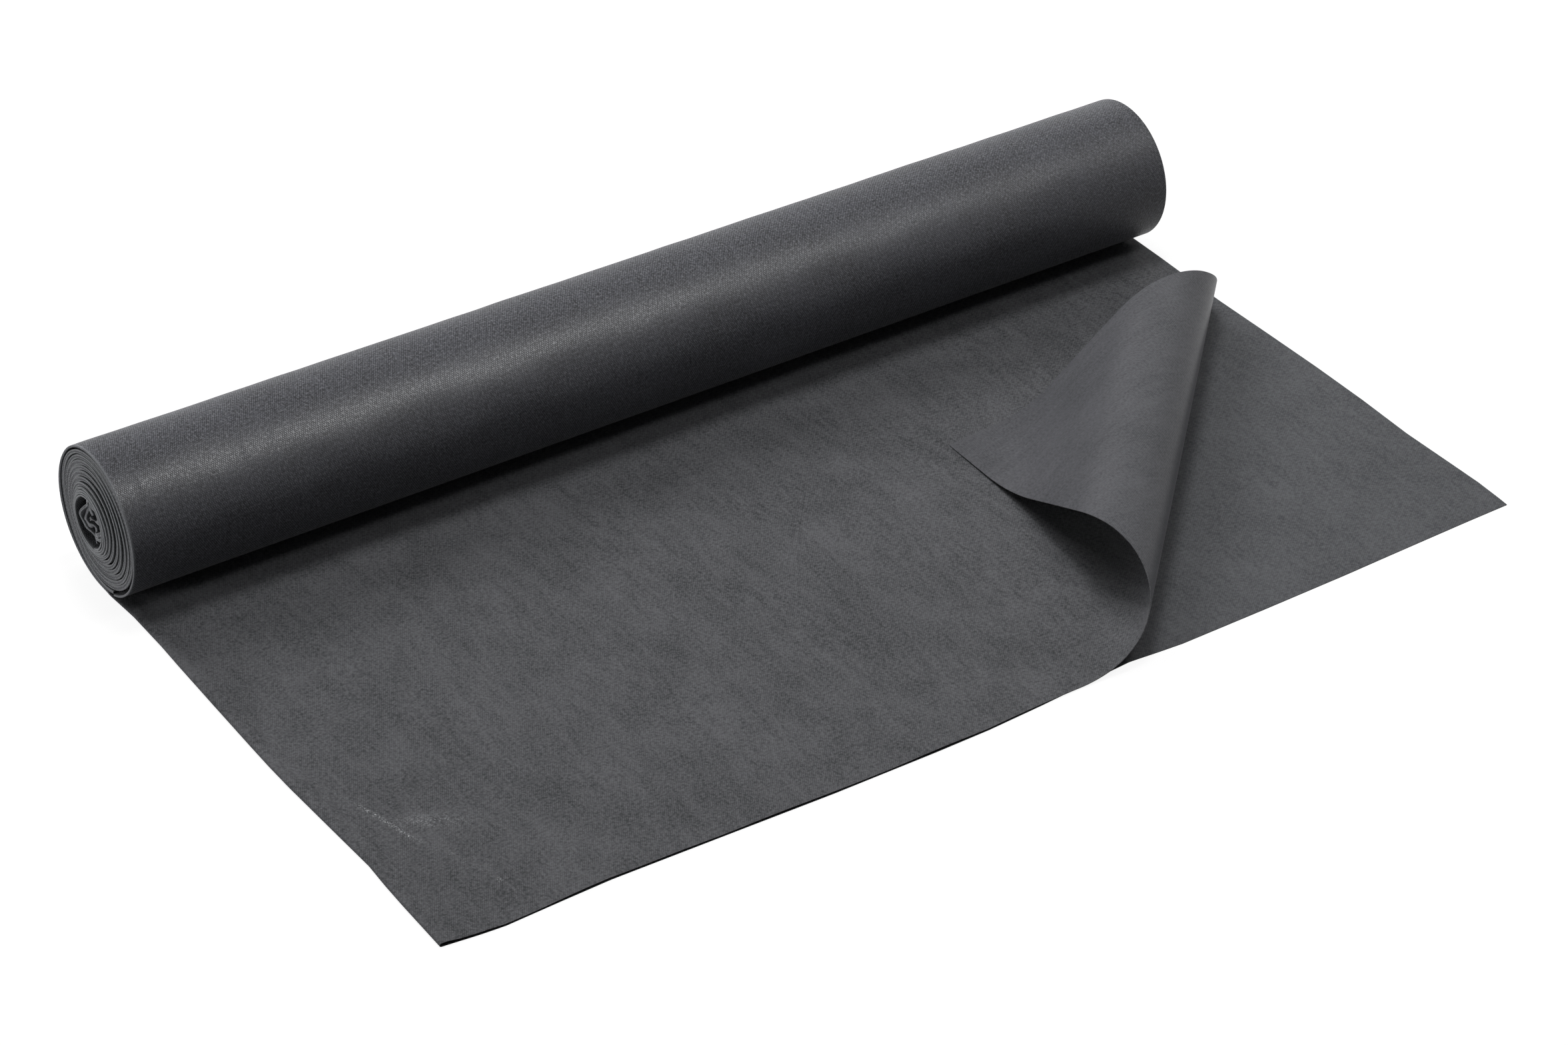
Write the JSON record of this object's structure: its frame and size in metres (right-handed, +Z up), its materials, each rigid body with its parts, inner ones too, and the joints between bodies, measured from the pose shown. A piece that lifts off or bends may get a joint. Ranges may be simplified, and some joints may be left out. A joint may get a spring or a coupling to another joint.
{
  "type": "roll of weed control fabric",
  "caption": "Coreless roll of folded black spunbond ground fabric, its free end laid flat and a corner of the upper layer rolled back; the roll pays out and the corner unrolls.",
  "frame": {"origin": "under the middle of the whole, on the surface that it lies on", "axes": "+Z up, +X along the roll from the folded edge to the free edges, -Y towards the laid free end"},
  "size_m": [1, 0.583, 0.1233],
  "materials": {
    "web_fabric": "matt spunbond polypropylene, point-bonded in fine dots",
    "folded_edge": "matt, the web's fold along its left side",
    "corner_fabric": "matt, the smoother underside of the web shows",
    "start_fabric": "matt, crumpled"
  },
  "bodies": {
    "laid_web": {"laid_lower_layer": "web_fabric", "laid_upper_layer": "web_fabric", "laid_folded_edge": "folded_edge", "payout_lower_layer": "web_fabric", "payout_upper_layer": "web_fabric", "payout_folded_edge": "folded_edge"},
    "roll_carriage": {"outer_turn_lower_layer": "web_fabric", "outer_turn_upper_layer": "web_fabric", "outer_turn_folded_edge": "folded_edge"},
    "winding": {"wound_lower_layer": "web_fabric", "wound_upper_layer": "web_fabric", "wound_folded_edge": "folded_edge", "crumpled_start": "start_fabric"},
    "corner_1": {"corner_strip_1": "corner_fabric"},
    "corner_2": {"corner_strip_2": "corner_fabric"},
    "corner_3": {"corner_strip_3": "corner_fabric"},
    "corner_4": {"corner_strip_4": "corner_fabric"},
    "corner_5": {"corner_strip_5": "corner_fabric"},
    "corner_6": {"corner_strip_6": "corner_fabric"},
    "corner_7": {"corner_strip_7": "corner_fabric"},
    "corner_8": {"corner_strip_8": "corner_fabric"},
    "corner_9": {"corner_strip_9": "corner_fabric"}
  },
  "joints": [
    {"name": "roll_travel", "type": "slide", "parent": "laid_web", "child": "roll_carriage", "axis": [0, 1, 0], "range_m": [-0.02, 0.387], "deforming": ["payout_lower_layer", "payout_upper_layer", "payout_folded_edge"]},
    {"name": "roll_spin", "type": "hinge", "parent": "roll_carriage", "child": "winding", "pos_m": [0, 0.22736, 0.06165], "axis": [-1, 0, 0], "range_deg": [-18.7, 359.9]},
    {"name": "corner_unroll_1", "type": "hinge", "parent": "laid_web", "child": "corner_1", "pos_m": [0.28065, -0.07925, 0.0013], "axis": [0.7006, 0.7135, 0], "range_deg": [0, 20.66]},
    {"name": "corner_unroll_2", "type": "hinge", "parent": "corner_1", "child": "corner_2", "pos_m": [0.29459, -0.0967, 0.00965], "axis": [0.7056, 0.7086, 0.0027], "range_deg": [0, 31.4]},
    {"name": "corner_unroll_3", "type": "hinge", "parent": "corner_2", "child": "corner_3", "pos_m": [0.30334, -0.10854, 0.0283], "axis": [0.7089, 0.7053, 0.0086], "range_deg": [0, 38.01]},
    {"name": "corner_unroll_4", "type": "hinge", "parent": "corner_3", "child": "corner_4", "pos_m": [0.30203, -0.10982, 0.05194], "axis": [0.7088, 0.7052, 0.0161], "range_deg": [0, 41.31]},
    {"name": "corner_unroll_5", "type": "hinge", "parent": "corner_4", "child": "corner_5", "pos_m": [0.29004, -0.09973, 0.06966], "axis": [0.7052, 0.7087, 0.0218], "range_deg": [0, 37.18]},
    {"name": "corner_unroll_6", "type": "hinge", "parent": "corner_5", "child": "corner_6", "pos_m": [0.27316, -0.08389, 0.07435], "axis": [0.6999, 0.7138, 0.0233], "range_deg": [0, 31.4]},
    {"name": "corner_unroll_7", "type": "hinge", "parent": "corner_6", "child": "corner_7", "pos_m": [0.25742, -0.06826, 0.06632], "axis": [0.6949, 0.7188, 0.0207], "range_deg": [0, 19.82]},
    {"name": "corner_unroll_8", "type": "hinge", "parent": "corner_7", "child": "corner_8", "pos_m": [0.21406, -0.02022, 0.01273], "axis": [0.6802, 0.7331, 0.0036], "range_deg": [-19.01, 0]},
    {"name": "corner_unroll_9", "type": "hinge", "parent": "corner_8", "child": "corner_9", "pos_m": [0.19935, -0.00328, 0.00428], "axis": [0.6749, 0.7379, 0.0009], "range_deg": [-19.01, 0]}
  ],
  "couplings": [
    {"joint": "roll_spin", "follows": "roll_travel", "rad_per_m": 16.221},
    {"joint": "corner_unroll_1", "follows": "corner_unroll_7", "ratio": 1.0417},
    {"joint": "corner_unroll_2", "follows": "corner_unroll_7", "ratio": 1.5833},
    {"joint": "corner_unroll_3", "follows": "corner_unroll_7", "ratio": 1.9167},
    {"joint": "corner_unroll_4", "follows": "corner_unroll_7", "ratio": 2.0833},
    {"joint": "corner_unroll_5", "follows": "corner_unroll_7", "ratio": 1.875},
    {"joint": "corner_unroll_6", "follows": "corner_unroll_7", "ratio": 1.5833},
    {"joint": "corner_unroll_8", "follows": "corner_unroll_7", "ratio": -0.95843},
    {"joint": "corner_unroll_9", "follows": "corner_unroll_7", "ratio": -0.95843}
  ]
}
